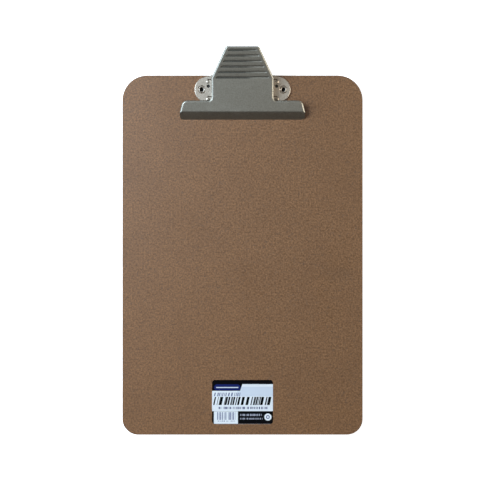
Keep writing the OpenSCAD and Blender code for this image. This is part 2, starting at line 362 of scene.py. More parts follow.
def make_board():
    """The sheet, with its corners rounded, and holes and recesses for the rivets."""
    board = block("board_sheet", board_lo, board_hi)
    edit(board, "EDGE")
    for radius, segments, end in ((TOP_CORNER_R, 20, board_hi.y), (BOTTOM_CORNER_R, 16, board_lo.y)):
        pick("EDGE", lambda e: all(near(p.y, end) for p in ends(e)) and near(ends(e)[0].x, ends(e)[1].x))
        round_edges(radius, segments)
    for side in (-1, 1):
        x = side * rivet_x
        cut(board,
            rod("hole", (x, rivet_y, -PAST), (x, rivet_y, board_top + PAST), SHANK_HOLE_R),
            rod("recess", (x, rivet_y, -PAST), (x, rivet_y, HEAD_RECESS_H), HEAD_RECESS_R))
    soften(board, BOARD_EASE, segments=3, angle=50)
    shade(board)
    return board


def make_label():
    """The label's paper, a thin sheet with rounded corners."""
    label = block("label_sheet", label_lo, label_hi)
    edit(label, "EDGE")
    pick("EDGE", lambda e: near(ends(e)[0].x, ends(e)[1].x) and near(ends(e)[0].y, ends(e)[1].y))
    round_edges(LABEL_CORNER_R, 10)
    soften(label, LABEL_EASE, segments=1, angle=50)
    shade(label)
    return label


# ---------------------------------------------------------------- base plate, rivets and pin

def plate_blank(name, shrink, top, floor):
    """The base plate's outline as a solid, taken in by shrink."""
    edge = PLATE_EDGE_X - shrink
    middle = block(name, (-edge, plate_lo.y + shrink, floor), (edge, plate_hi.y - shrink, top))
    ears = [rod("ear", (x, rivet_y, floor), (x, rivet_y, top), EAR_R - shrink, 72) for x in (-ear_x, ear_x)]
    return hull(name, middle, *ears)


def round_rim(obj, radius, top):
    """Rounds the edge all round a piece's top face."""
    edit(obj, "EDGE")
    pick("EDGE", lambda e: all(near(p.z, top) for p in ends(e)))
    round_edges(radius, 4)
    object_mode()


def make_base_plate():
    """A pan pressed from sheet, with rivet seats, lugs turned up out of windows, and locating bosses."""
    plate = plate_blank("base_plate_pressing", 0, plate_top, board_top)
    round_rim(plate, PLATE_RIM_R, plate_top)
    under, over = board_top - PAST, plate_top + PAST
    hollow = plate_blank("hollow", PLATE_T, plate_top - PLATE_T, under)
    round_rim(hollow, PLATE_RIM_R / 2, plate_top - PLATE_T)
    cut(plate, hollow)
    pad = rod("pad", (rivet_x, rivet_y, board_top), (rivet_x, rivet_y, plate_top - PLATE_T / 2), PAD_R)
    seat = turned("seat", (rivet_x, rivet_y, board_top + PLATE_T), (0, 0, 1),
                  rings_from(0, (3.1, 0), (3.35, 0.1), (3.7, 0.75), (4.05, 1.1)))
    shank = rod("shank", (rivet_x, rivet_y, under), (rivet_x, rivet_y, over), SHANK_HOLE_R)
    pilot = rod("pilot", (PILOT_X, pilot_y, under), (PILOT_X, pilot_y, over), PILOT_R)
    window = block("window", (WINDOW_X, lug_front, under), (LUG_X, lug_back, over))
    slot = block("slot", (WINDOW_X, slot_y, under), (SLOT_END_X, slot_y + SLOT_W, over))
    slots = [slot, copied(slot, "slot", y=slot_step)]
    boss = turned("boss", (BOSS_X, boss_y, plate_top - BOSS_SUNK), (0, 0, 1),
                  rings_from(0, (1.8, 0), (1.75, 0.3), (1.5, 0.62), (1.1, 0.84), (0.6, 0.96), (0.2, 1.0)), 32)
    bosses = [boss, copied(boss, "boss", y=BOSS_STEP)]
    stages = (("UNION", [pad]), ("DIFFERENCE", [seat, shank, pilot, window, *slots]),
              ("UNION", [*bosses, make_lug()]))
    for operation, tools in stages:
        twins = [copied(tool, tool.name, mirrored=True) for tool in tools]
        cut(plate, *tools, *twins, operation=operation)
    soften(plate, PLATE_EASE, angle=35)
    shade(plate, 30)
    return plate


def make_lug():
    """A lug turned up from the plate to hold the hinge pin."""
    near_face, far_face = LUG_X, LUG_X + PLATE_T
    foot = block(
        "foot", (near_face, lug_front, plate_top - PLATE_T), (far_face, lug_back, plate_top + LUG_FOOT_H))
    head = rod("head", (near_face, hinge.y, hinge.z), (far_face, hinge.y, hinge.z), LUG_HEAD_R)
    lug = hull("lug", foot, head)
    start, end = (near_face - PAST, hinge.y, hinge.z), (far_face + PAST, hinge.y, hinge.z)
    cut(lug, rod("bore", start, end, LUG_BORE_R))
    return lug


def make_rivet():
    """A semi-tubular rivet: a low flat head behind the board, and its hollow end rolled over in front."""
    lo, hi = rivets["right"]
    top = hi.z - lo.z
    seat = top - ROLL_H
    rings = rings_from(0, (0.4, 0), (3.7, 0), (4.1, 0.15), (4.25, 0.4), (4.05, 0.75), (2.1, 0.8), (2.0, 0.9))
    rings += rings_from(seat, (2.0, 0), (2.75, 0.02), (2.95, 0.2), (3.0, 0.45), (2.9, 0.75))
    rings += rings_from(top, (2.7, 0.05), (2.5, 0), (2.25, 0.08), (1.95, 0.35), (1.75, 0.7), way=-1)
    rings += [(HOLLOW_R, top - ROLL_IN), (HOLLOW_R, HOLLOW_FLOOR)]
    rings += rings_from(0, (1.2, 1.75), (0.4, 1.7))
    rivet = turned("rivet_right_turned", (rivet_x, rivet_y, lo.z), (0, 0, 1), rings)
    shade(rivet)
    return rivet


def make_pin():
    """The hinge pin, with a low domed head at each end."""
    head = [(0.4, 0), (1.2, 0.06), (1.9, 0.18), (2.35, 0.34), (2.6, 0.52), (2.55, 0.7), (1.5, 0.7)]
    rings = rings_from(-pin_half, *head) + rings_from(pin_half, *reversed(head), way=-1)
    pin = turned("hinge_pin_turned", hinge, (1, 0, 0), rings)
    shade(pin)
    return pin


# ---------------------------------------------------------------- torsion spring

WIRE_R = 0.75 * MM
COIL_R = 3.3 * MM
COIL_TURNS = 7
COIL_PITCH = 1.7 * MM
TURN_STEPS = 32
LEG_STEPS = (0.1, 0.33, 0.66, 1)    # shares of a leg's length, out from the coil
UPPER_LEG = 9.6 * MM
LOWER_LEG = 11 * MM
LEG_GAP = 0.05 * MM


def spring_route():
    """Points along the wire, from the upper leg to the lower one, and the coil's half length."""
    web = (bend_z + (hinge.y - bend_y) * math.tan(BODY_SLOPE) - hinge.z) * math.cos(BODY_SLOPE) - SHEET
    upper_tilt = math.asin((web - COIL_R - WIRE_R - LEG_GAP) / UPPER_LEG)
    lower_tilt = math.asin((hinge.z - COIL_R - WIRE_R - LEG_GAP - plate_top) / LOWER_LEG)
    first = math.pi / 2 + BODY_SLOPE + upper_tilt
    last = 2 * math.pi * COIL_TURNS - math.pi / 2 - lower_tilt
    half = COIL_PITCH * (last - first) / (4 * math.pi)
    steps = TURN_STEPS * COIL_TURNS

    def station(angle, out=0.0):
        x = COIL_PITCH * (angle - first) / (2 * math.pi) - half
        along = Vector((0, math.sin(angle), -math.cos(angle)))
        return hinge + Vector((x, COIL_R * math.cos(angle), COIL_R * math.sin(angle))) + along * out

    coil = [station(first + (last - first) * i / steps) for i in range(steps + 1)]
    upper = [station(first, UPPER_LEG * share) for share in reversed(LEG_STEPS)]
    lower = [station(last, -LOWER_LEG * share) for share in LEG_STEPS]
    return upper + coil + lower, half


def make_spring():
    """The spring, a round wire along its route, and its coil's half length."""
    points, half = spring_route()
    wire = bpy.data.curves.new("wire", "CURVE")
    wire.dimensions = "3D"
    line = wire.splines.new("POLY")
    line.points.add(len(points) - 1)
    for spot, point in zip(line.points, points):
        spot.co = (*point, 1)
    wire.bevel_depth = WIRE_R
    wire.bevel_resolution = 3
    wire.use_fill_caps = True
    spring = bpy.data.objects.new("torsion_spring_wire", wire)
    bpy.context.scene.collection.objects.link(spring)
    only(spring)
    bpy.ops.object.convert(target="MESH")
    spring = bpy.context.object
    shade(spring, 50)
    return spring, half


# ---------------------------------------------------------------- lever

GROOVES = 6
GROOVE_PITCH = 4.92 * MM
groove_first = handle_y + 0.5 * MM
GROOVE_HALF_W = 1.1 * MM
GROOVE_DEPTH = 0.5 * MM
GROOVE_INSET = 3.6 * MM             # plain metal between a groove's end and the handle's side
GROOVE_RUN = 1.4 * MM               # length over which a groove's end fades out
GROOVE_SLACK = 0.01 * MM            # keeps a point on the line between two runs in one of them


def handle_side(point):
    """How far a point of the handle is from its nearer slanted side."""
    return (BODY_HALF + side_slope * (point.y - handle_y) - abs(point.x)) / side_turn


def press_grooves():
    """Lays edges across the open mesh's handle, and presses the grooves down on them."""
    def lay_edge(low, high, point, normal):
        pick("FACE", lambda f: f.normal.z > 0.85 and low < f.calc_center_median().y < high)
        bpy.ops.mesh.bisect(plane_co=point, plane_no=normal)

    first_edge = groove_first - GROOVE_HALF_W
    lay_edge(bend_y, handle_y, (0, first_edge, 0), (0, 1, 0))
    runs = [(GROOVE_INSET + share * GROOVE_RUN, math.sin(share * math.pi / 2)) for share in (0, 0.35, 0.7, 1)]
    for inset, _ in runs:
        for side in (-1, 1):
            start = (side * (BODY_HALF - inset * side_turn), handle_y, 0)
            lay_edge(handle_y, lever_hi.y, start, (side, -side_slope, 0))
            lay_edge(first_edge, handle_y, start, (1, 0, 0))
    for number in range(GROOVES):
        middle = groove_first + number * GROOVE_PITCH
        lines = [middle + share * GROOVE_HALF_W for share in (-1, -0.66, -0.33, 0, 0.33, 0.66, 1)]
        lines = [y for y in lines if y > handle_y + 0.2 * MM]
        for y in lines:
            lay_edge(handle_y, lever_hi.y, (0, y, 0), (0, 1, 0))
        if number == 0:
            lines.append(handle_y)
        for y in lines:
            press = GROOVE_DEPTH * (0.5 + 0.5 * math.cos(math.pi * (y - middle) / GROOVE_HALF_W))
            for (inset, share), (next_inset, _) in zip(runs, runs[1:] + [(BODY_HALF, 1)]):
                low, high = inset - GROOVE_SLACK, next_inset - GROOVE_SLACK
                pick("VERT", lambda v: near(v.co.y, y) and low < handle_side(v.co) < high
                     and any(f.normal.z > 0.8 for f in v.link_faces))
                push(z=-press * share)


FLANGE_BLANK_H = 14 * MM            # as folded, before it is trimmed
TRIM_H = 40 * MM
TRIM_PAST = 5 * MM
TOE_RUN, TOE_DROP = 3 * MM, 7.4 * MM    # from the lip's bend to the start of the flange's lower edge
KINK_RUN = 2 * MM                   # how far behind the board the lower edge turns up to the tip
HINGE_ARC_START = 180 + 52          # in degrees, where the edge starts to go round the hinge


def flange_trim():
    """Everything under the flange's lower edge, in side view."""
    hinge_arc_end = 270 + math.degrees(open_angle)
    around = arc((hinge.y, hinge.z), FLANGE_R, HINGE_ARC_START, hinge_arc_end, 20)
    kink_y = board_hi.y + KINK_RUN
    kink_z = around[-1][1] + (kink_y - around[-1][0]) * math.tan(open_angle)
    profile = [
        (bend_y - TOE_RUN, bend_z - TOE_DROP), (bend_y, bend_z - BAR_FLANGE_H),
        (shoulder_y, shoulder_z - BAR_FLANGE_H), *around, (kink_y, kink_z),
        (lever_hi.y, lever_hi.z - TIP_FLANGE_H), (lever_hi.y + TRIM_PAST, lever_hi.z),
    ]
    trim = strip("trim", -bar_half - TRIM_PAST, bar_half + TRIM_PAST, profile)
    bpy.ops.mesh.select_all(action="SELECT")
    extrude(z=-TRIM_H)
    face_outwards()
    object_mode()
    return trim


def make_lever():
    """The lever as it is pressed: a flat blank, shaped, folded, grooved, given its thickness and trimmed."""
    bpy.ops.object.select_all(action="DESELECT")
    bpy.ops.mesh.primitive_plane_add(size=1)
    lever = added("lever_pressing")
    edit(lever, "VERT")
    bpy.ops.mesh.select_all(action="SELECT")
    bpy.ops.transform.resize(value=(2 * bar_half, shoulder_y - bend_y, 1))
    push(y=(shoulder_y + bend_y) / 2)
    for side in (-1, 1):
        bpy.ops.mesh.select_all(action="SELECT")
        bpy.ops.mesh.bisect(plane_co=(side * BODY_HALF, 0, 0), plane_no=(1, 0, 0))
    pick("EDGE", lambda e: all(near(p.y, shoulder_y) and abs(p.x) < BODY_HALF + MM for p in ends(e)))
    extrude(y=handle_y - shoulder_y)
    extrude(y=lever_hi.y - handle_y)
    bpy.ops.transform.resize(value=(TIP_HALF / BODY_HALF, 1, 1))
    pick("EDGE", lambda e: all(near(p.y, bend_y) for p in ends(e)))
    extrude(y=lever_lo.y - bend_y)
    pick("VERT", lambda v: near(v.co.y, shoulder_y) and v.co.x > bar_half - MM)
    push(x=-BAR_TAPER)
    pick("VERT", lambda v: near(v.co.y, shoulder_y) and v.co.x < -bar_half + MM)
    push(x=BAR_TAPER)
    heights = ((lever_lo.y, lever_lo.z), (bend_y, bend_z), (shoulder_y, shoulder_z), (handle_y, handle_z),
               (lever_hi.y, lever_hi.z))
    for y, z in heights:
        pick("VERT", lambda v: near(v.co.y, y))
        push(z=z)
    for low, high in ((lever_lo.y, bend_y), (bend_y, handle_y)):
        pick("FACE", lambda f: low < f.calc_center_median().y < high)
        bpy.ops.mesh.dissolve_faces()
    pick("VERT", lambda v: near(v.co.y, lever_lo.y) and abs(v.co.x) > bar_half - MM)
    bpy.ops.mesh.bevel(offset=LIP_CORNER, segments=8, affect="VERTICES")
    # the flange, folded down all round but at the lip
    pick("EDGE", lambda e: e.is_boundary and all(p.y > bend_y - 0.1 * MM for p in ends(e)))
    extrude(z=-FLANGE_BLANK_H)

    def upright(e, x, y):
        a, b = ends(e)
        return near(a.x, b.x) and near(a.y, b.y) and near(abs(a.x), x) and near(a.y, y)

    pick("EDGE", lambda e: upright(e, bar_half - BAR_TAPER, shoulder_y))
    round_edges(SHOULDER_R, 6)
    pick("EDGE", lambda e: upright(e, BODY_HALF, shoulder_y))
    round_edges(WAIST_R, 6)
    pick("EDGE", lambda e: upright(e, TIP_HALF, lever_hi.y))
    round_edges(TIP_R, 5, math.pi / 2 - math.atan(-side_slope))

    def fold(e):
        lean = sorted(abs(f.normal.z) for f in e.link_faces)
        return len(lean) == 2 and lean[0] < 0.3 and lean[1] > 0.6

    pick("EDGE", fold)
    round_edges(FOLD_R, 5)
    lip_angle = math.atan2(bend_z - lever_lo.z, bend_y - lever_lo.y)
    pick("EDGE", lambda e: all(near(p.y, bend_y) and near(p.z, bend_z) for p in ends(e)))
    round_edges(LIP_BEND_R, 5, lip_angle + BODY_SLOPE)
    press_grooves()
    face_outwards()
    object_mode()
    apply_modifier(lever, "SOLIDIFY", thickness=SHEET, offset=-1, use_even_offset=True)
    foot = lever_lo.z + 0.02 * MM       # the lip's end is cut level here
    bore_end = BODY_HALF + 2 * PAST
    cut(lever, flange_trim(),
        block("foot", (-bar_half - PAST, lever_lo.y - TRIM_PAST, -PAST), (bar_half + PAST, bend_y, foot)),
        rod("bore", (-bore_end, hinge.y, hinge.z), (bore_end, hinge.y, hinge.z), LEVER_BORE_R))
    soften(lever, LEVER_EASE, angle=50)
    shade(lever, 32)
    return lever


board = make_board()
label = make_label()
base_plate = make_base_plate()
rivet_right = make_rivet()
rivet_left = copied(rivet_right, "rivet_left_turned", x=-2 * rivet_x)
pin = make_pin()
spring, coil_half = make_spring()
lever = make_lever()


# ---------------------------------------------------------------- shader helpers

def fill(tree, made, inputs):
    """Joins sockets to a node's inputs, or sets their values, by the input's name or number."""
    for key, value in inputs.items():
        if isinstance(value, bpy.types.NodeSocket):
            tree.links.new(value, made.inputs[key])
        else:
            made.inputs[key].default_value = value
    return made


def node(tree, kind, inputs=None, **settings):
    made = tree.nodes.new(kind)
    for name, value in settings.items():
        setattr(made, name, value)
    return fill(tree, made, inputs or {})


def sums(tree, operation, *values):
    """Arithmetic on numbers."""
    return node(tree, "ShaderNodeMath", dict(enumerate(values)), operation=operation).outputs[0]


def vector_sums(tree, operation, *values):
    """Arithmetic on vectors, for the operations whose result is a vector."""
    return node(tree, "ShaderNodeVectorMath", dict(enumerate(values)), operation=operation).outputs[0]


def stretch(tree, value, low, high, to_low=0.0, to_high=1.0):
    """Moves a value from one range to another, held at both ends."""
    return node(tree, "ShaderNodeMapRange", {0: value, 1: low, 2: high, 3: to_low, 4: to_high}).outputs[0]


def tint(tree, share, under, over):
    """Lays one colour over another by a share."""
    return node(tree, "ShaderNodeMix", {0: share, 6: under, 7: over}, data_type="RGBA").outputs[2]


def noise(tree, place, scale, detail=2.0, roughness=0.5):
    inputs = {"Vector": place, "Scale": scale, "Detail": detail, "Roughness": roughness}
    return node(tree, "ShaderNodeTexNoise", inputs).outputs["Fac"]


def object_place(tree):
    return node(tree, "ShaderNodeTexCoord").outputs["Object"]


def effect(name, inputs, outputs):
    """Starts a node group. inputs are {name: first value}; it returns the tree and its two ends."""
    tree = bpy.data.node_groups.new(name, "ShaderNodeTree")
    for title, value in inputs.items():
        kind = "NodeSocketVector" if isinstance(value, tuple) else "NodeSocketFloat"
        tree.interface.new_socket(title, in_out="INPUT", socket_type=kind).default_value = value
    for title in outputs:
        tree.interface.new_socket(title, in_out="OUTPUT", socket_type="NodeSocketFloat")
    return tree, tree.nodes.new("NodeGroupInput").outputs, tree.nodes.new("NodeGroupOutput")


def use(tree, group, inputs):
    """Places an effect in a material, with its own values."""
    made = tree.nodes.new("ShaderNodeGroup")
    made.node_tree = group
    return fill(tree, made, inputs).outputs


# ---------------------------------------------------------------- effects that several finishes share

def make_grain():
    """Fine speckle of a given size, such as a satin plate's or pressed fibre's."""
    tree, given, out = effect("grain", {"Size": 0.001, "Contrast": 0.5}, ["Value", "Height"])
    place = object_place(tree)
    scale = sums(tree, "DIVIDE", 1.0, given["Size"])
    coarse = noise(tree, place, scale, 2.0, 0.6)
    fine = noise(tree, place, sums(tree, "MULTIPLY", scale, 2.7), 1.0)
    both = sums(tree, "ADD", sums(tree, "MULTIPLY", coarse, 0.65), sums(tree, "MULTIPLY", fine, 0.35))
    gain = sums(tree, "MULTIPLY", given["Contrast"], 4)
    centred = sums(tree, "MULTIPLY", sums(tree, "SUBTRACT", both, 0.5), gain)
    fill(tree, out, {"Value": sums(tree, "ADD", centred, 0.5), "Height": both})
    return tree


def make_smudges():
    """Broad, soft patches where a surface has been handled."""
    tree, given, out = effect("smudges", {"Size": 0.03, "Cover": 0.5}, ["Mask"])
    place = object_place(tree)
    scale = sums(tree, "DIVIDE", 1.0, given["Size"])
    broad = noise(tree, place, scale, 3.0, 0.55)
    start = sums(tree, "SUBTRACT", 0.75, sums(tree, "MULTIPLY", given["Cover"], 0.4))
    fill(tree, out, {"Mask": stretch(tree, broad, start, sums(tree, "ADD", start, 0.2))})
    return tree


def make_edge_wear():
    """Worn outer edges, broken up so that the line isn't even."""
    tree, given, out = effect("edge wear", {"Width": 0.0005, "Amount": 1.0}, ["Mask"])
    rounded = node(tree, "ShaderNodeBevel", {"Radius": given["Width"]}, samples=4).outputs["Normal"]
    flat = node(tree, "ShaderNodeNewGeometry").outputs["Normal"]
    lean = node(tree, "ShaderNodeVectorMath", {0: rounded, 1: flat}, operation="DOT_PRODUCT").outputs["Value"]
    edge = stretch(tree, lean, 0.995, 0.9)
    broken = stretch(tree, noise(tree, object_place(tree), 900.0, 2.0), 0.35, 0.6, 0.35, 1.0)
    fill(tree, out, {"Mask": sums(tree, "MULTIPLY", sums(tree, "MULTIPLY", edge, broken), given["Amount"])})
    return tree


def make_fibres():
    """Short dark fibres of pressed wood, lying one way."""
    tree, given, out = effect("fibres", {"Turn": (0.0, 0.0, 0.0), "Size": 0.001, "Cover": 0.5}, ["Mask"])
    turning = {"Vector": object_place(tree), "Rotation": given["Turn"]}
    turned_place = node(tree, "ShaderNodeVectorRotate", turning, rotation_type="EULER_XYZ").outputs[0]
    drawn = vector_sums(tree, "MULTIPLY", turned_place, (0.4, 1.3, 1.3))
    field = noise(tree, drawn, sums(tree, "DIVIDE", 1.0, given["Size"]), 1.0, 0.4)
    start = sums(tree, "SUBTRACT", 0.78, sums(tree, "MULTIPLY", given["Cover"], 0.2))
    fill(tree, out, {"Mask": stretch(tree, field, start, sums(tree, "ADD", start, 0.06))})
    return tree


def make_patch():
    """A patch with rounded corners at a place on the face, such as a printed bar or a disc."""
    first = {"Centre": (0.0, 0.0, 0.0), "Half size": (0.01, 0.01, 1.0), "Round": 0.0001, "Slant": 0.0,
             "Soft": 0.0001}
    tree, given, out = effect("patch", first, ["Mask"])
    place = vector_sums(tree, "SUBTRACT", object_place(tree), given["Centre"])
    across = node(tree, "ShaderNodeSeparateXYZ", {0: place}).outputs
    leant = sums(tree, "SUBTRACT", across["X"], sums(tree, "MULTIPLY", across["Y"], given["Slant"]))
    flat = node(tree, "ShaderNodeCombineXYZ", {0: leant, 1: across["Y"]}).outputs[0]
    rounding = node(tree, "ShaderNodeCombineXYZ", {0: given["Round"], 1: given["Round"]}).outputs[0]
    core = vector_sums(tree, "SUBTRACT", given["Half size"], rounding)
    beyond = vector_sums(tree, "SUBTRACT", vector_sums(tree, "ABSOLUTE", flat), core)
    outside = vector_sums(tree, "MAXIMUM", beyond, (0, 0, 0))
    reach = node(tree, "ShaderNodeVectorMath", {0: outside}, operation="LENGTH").outputs["Value"]
    fill(tree, out, {"Mask": stretch(tree, reach, sums(tree, "SUBTRACT", given["Round"], given["Soft"]),
                                     sums(tree, "ADD", given["Round"], given["Soft"]), 1.0, 0.0)})
    return tree


def make_strokes():
    """Upright strokes of uneven width, as in small print seen from afar or a stock-keeping bar mark."""
    tree, given, out = effect("strokes", {"Pitch": 0.001, "Cover": 0.5, "Slant": 0.0}, ["Mask"])
    across = node(tree, "ShaderNodeSeparateXYZ", {0: object_place(tree)}).outputs
    leant = sums(tree, "SUBTRACT", across["X"], sums(tree, "MULTIPLY", across["Y"], given["Slant"]))
    along = sums(tree, "DIVIDE", leant, given["Pitch"])
    field = node(tree, "ShaderNodeTexNoise", {"W": along, "Scale": 1.0, "Detail": 1.0},
                 noise_dimensions="1D").outputs["Fac"]
    start = sums(tree, "SUBTRACT", 0.62, sums(tree, "MULTIPLY", given["Cover"], 0.24))
    fill(tree, out, {"Mask": stretch(tree, field, start, sums(tree, "ADD", start, 0.03))})
    return tree


grain, smudges, edge_wear = make_grain(), make_smudges(), make_edge_wear()
fibres, patch, strokes = make_fibres(), make_patch(), make_strokes()


# ---------------------------------------------------------------- finishes

def finish_start(name, **constants):
    """A new material. constants are set on its shader."""
    material = bpy.data.materials.new(name)
    material.use_nodes = True
    tree = material.node_tree
    shader = tree.nodes["Principled BSDF"]
    for title, value in constants.items():
        shader.inputs[title.replace("_", " ")].default_value = value
    return material, tree, shader


def relief(tree, height, depth):
    """A bump from a height, depth in metres."""
    return node(tree, "ShaderNodeBump", {"Height": height, "Distance": depth, "Strength": 1.0}).outputs[0]


def make_metal(name, dull, bright, roughness, grain_size, contrast, wear, smudge, painted_light_right=None):
    """Plated or drawn steel: speckle in its colour and gloss, handling marks, and worn edges.

    The colour given last is laid over towards the right as painted light, a painted highlight where more
    light falls on that side.
    """
    material, tree, shader = finish_start(name, Metallic=1.0)
    speckle = use(tree, grain, {"Size": grain_size, "Contrast": contrast})
    marks = use(tree, smudges, {"Size": 22 * MM, "Cover": smudge})["Mask"]
    worn = use(tree, edge_wear, {"Width": 0.5 * MM, "Amount": wear})["Mask"]
    colour = tint(tree, speckle["Value"], dull, bright)
    # painted light: the colour turns lighter towards the right, where more light falls
    if painted_light_right:
        place = object_place(tree)
        across = node(tree, "ShaderNodeSeparateXYZ", {0: place}).outputs["X"]
        ragged = sums(tree, "MULTIPLY", noise(tree, place, 1 / (4 * MM)), 14 * MM)
        share = stretch(tree, sums(tree, "ADD", across, ragged), 8 * MM, 20 * MM, 0.0, 0.75)
        colour = tint(tree, share, colour, painted_light_right)
    lighter = tuple(min(1.0, c * 1.25) for c in bright[:3]) + (1.0,)
    colour = tint(tree, worn, colour, lighter)
    gloss = sums(tree, "ADD", stretch(tree, speckle["Value"], 0, 1, roughness - 0.05, roughness + 0.05),
                 sums(tree, "MULTIPLY", marks, 0.06))
    gloss = sums(tree, "SUBTRACT", gloss, sums(tree, "MULTIPLY", worn, 0.08))
    fill(tree, shader, {"Base Color": colour, "Roughness": gloss,
                        "Normal": relief(tree, speckle["Height"], METAL_RELIEF)})
    return material


def make_board_face():
    """Tempered hardboard's smooth face: mottled brown, with short dark fibres and a few specks, and painted
    shade under the pilot holes.
    """
    material, tree, shader = finish_start("hardboard_face", Specular_IOR_Level=0.95)
    place = object_place(tree)
    mottle = use(tree, grain, {"Size": 1.6 * MM, "Contrast": 1.0})
    cloud = noise(tree, place, 1 / (45 * MM), 3.0, 0.6)
    colour = tint(tree, mottle["Value"], FACE_DARK, FACE_LIGHT)
    colour = tint(tree, stretch(tree, cloud, 0.35, 0.7, 0.0, 0.22), colour, FACE_DARK)
    for turn, size in ((0.3, 1.5), (1.4, 1.3), (2.4, 1.6)):
        lying = use(tree, fibres, {"Turn": (0.0, 0.0, turn), "Size": size * MM, "Cover": 0.55})["Mask"]
        colour = tint(tree, sums(tree, "MULTIPLY", lying, 0.4), colour, FIBRE)
    specks = node(tree, "ShaderNodeTexVoronoi", {"Vector": place, "Scale": 1 / (17 * MM)}).outputs["Distance"]
    colour = tint(tree, stretch(tree, specks, 0.02, 0.05, 0.75, 0.0), colour, SPECK)
    stain = use(tree, patch, {"Centre": (*STAIN_PLACE, 0), "Half size": (*STAIN_HALF, 1),
                              "Round": STAIN_ROUND, "Soft": STAIN_SOFT})["Mask"]
    colour = tint(tree, sums(tree, "MULTIPLY", stain, 0.14), colour, SPECK)
    # painted shade: a near-black disc on the face under each of the plate's pilot holes
    for side in (-1, 1):
        hole = use(tree, patch, {"Centre": (side * PILOT_X, pilot_y, 0), "Half size": (HOLE_R, HOLE_R, 1),
                                 "Round": HOLE_R, "Soft": HOLE_SOFT})["Mask"]
        colour = tint(tree, hole, colour, PILOT_HOLE_SHADE)
    marks = use(tree, smudges, {"Size": 60 * MM, "Cover": 0.5})["Mask"]
    gloss = stretch(tree, mottle["Value"], 0, 1, 0.36, 0.6)
    gloss = sums(tree, "SUBTRACT", gloss, sums(tree, "MULTIPLY", marks, 0.04))
    fill(tree, shader, {"Base Color": colour, "Roughness": gloss,
                        "Normal": relief(tree, mottle["Height"], 0.08 * MM)})
    return material


def make_board_back():
    """Hardboard's rough face, with the print of the screen that it was pressed on."""
    material, tree, shader = finish_start("hardboard_back", Specular_IOR_Level=0.3)
    place = object_place(tree)
    mottle = use(tree, grain, {"Size": 2.4 * MM, "Contrast": 0.7})
    across = node(tree, "ShaderNodeSeparateXYZ", {0: place}).outputs
    turn = 2 * math.pi / SCREEN_PITCH
    waves = [sums(tree, "SINE", sums(tree, "MULTIPLY", across[axis], turn)) for axis in "XY"]
    mesh_print = stretch(tree, sums(tree, "MULTIPLY", *waves), -1, 1)
    colour = tint(tree, mottle["Value"], BACK_DARK, BACK_LIGHT)
    colour = tint(tree, sums(tree, "MULTIPLY", mesh_print, 0.35), colour, BACK_DARK)
    lying = use(tree, fibres, {"Turn": (0.0, 0.0, 0.8), "Size": 2.2 * MM, "Cover": 0.7})["Mask"]
    colour = tint(tree, sums(tree, "MULTIPLY", lying, 0.35), colour, FIBRE)
    height = sums(tree, "ADD", sums(tree, "MULTIPLY", mesh_print, 0.7), mottle["Height"])
    fill(tree, shader, {"Base Color": colour, "Roughness": stretch(tree, mottle["Value"], 0, 1, 0.78, 0.9),
                        "Normal": relief(tree, height, 0.12 * MM)})
    return material


def make_board_edge():
    """A sawn and eased edge: layered fibre, darker and duller than the face."""
    material, tree, shader = finish_start("hardboard_edge", Specular_IOR_Level=0.3)
    place = object_place(tree)
    layers = noise(tree, vector_sums(tree, "MULTIPLY", place, (0.25, 0.25, 1.6)), 1 / (1.1 * MM), 3.0, 0.6)
    pores = use(tree, grain, {"Size": 1.0 * MM, "Contrast": 0.8})
    colour = tint(tree, layers, EDGE_DARK, EDGE_LIGHT)
    colour = tint(tree, stretch(tree, pores["Value"], 0.5, 0.9, 0.0, 0.5), colour, FIBRE)
    height = sums(tree, "ADD", layers, sums(tree, "MULTIPLY", pores["Height"], 0.6))
    fill(tree, shader, {"Base Color": colour, "Roughness": stretch(tree, layers, 0.3, 0.7, 0.75, 0.9),
                        "Normal": relief(tree, height, 0.15 * MM)})
    return material


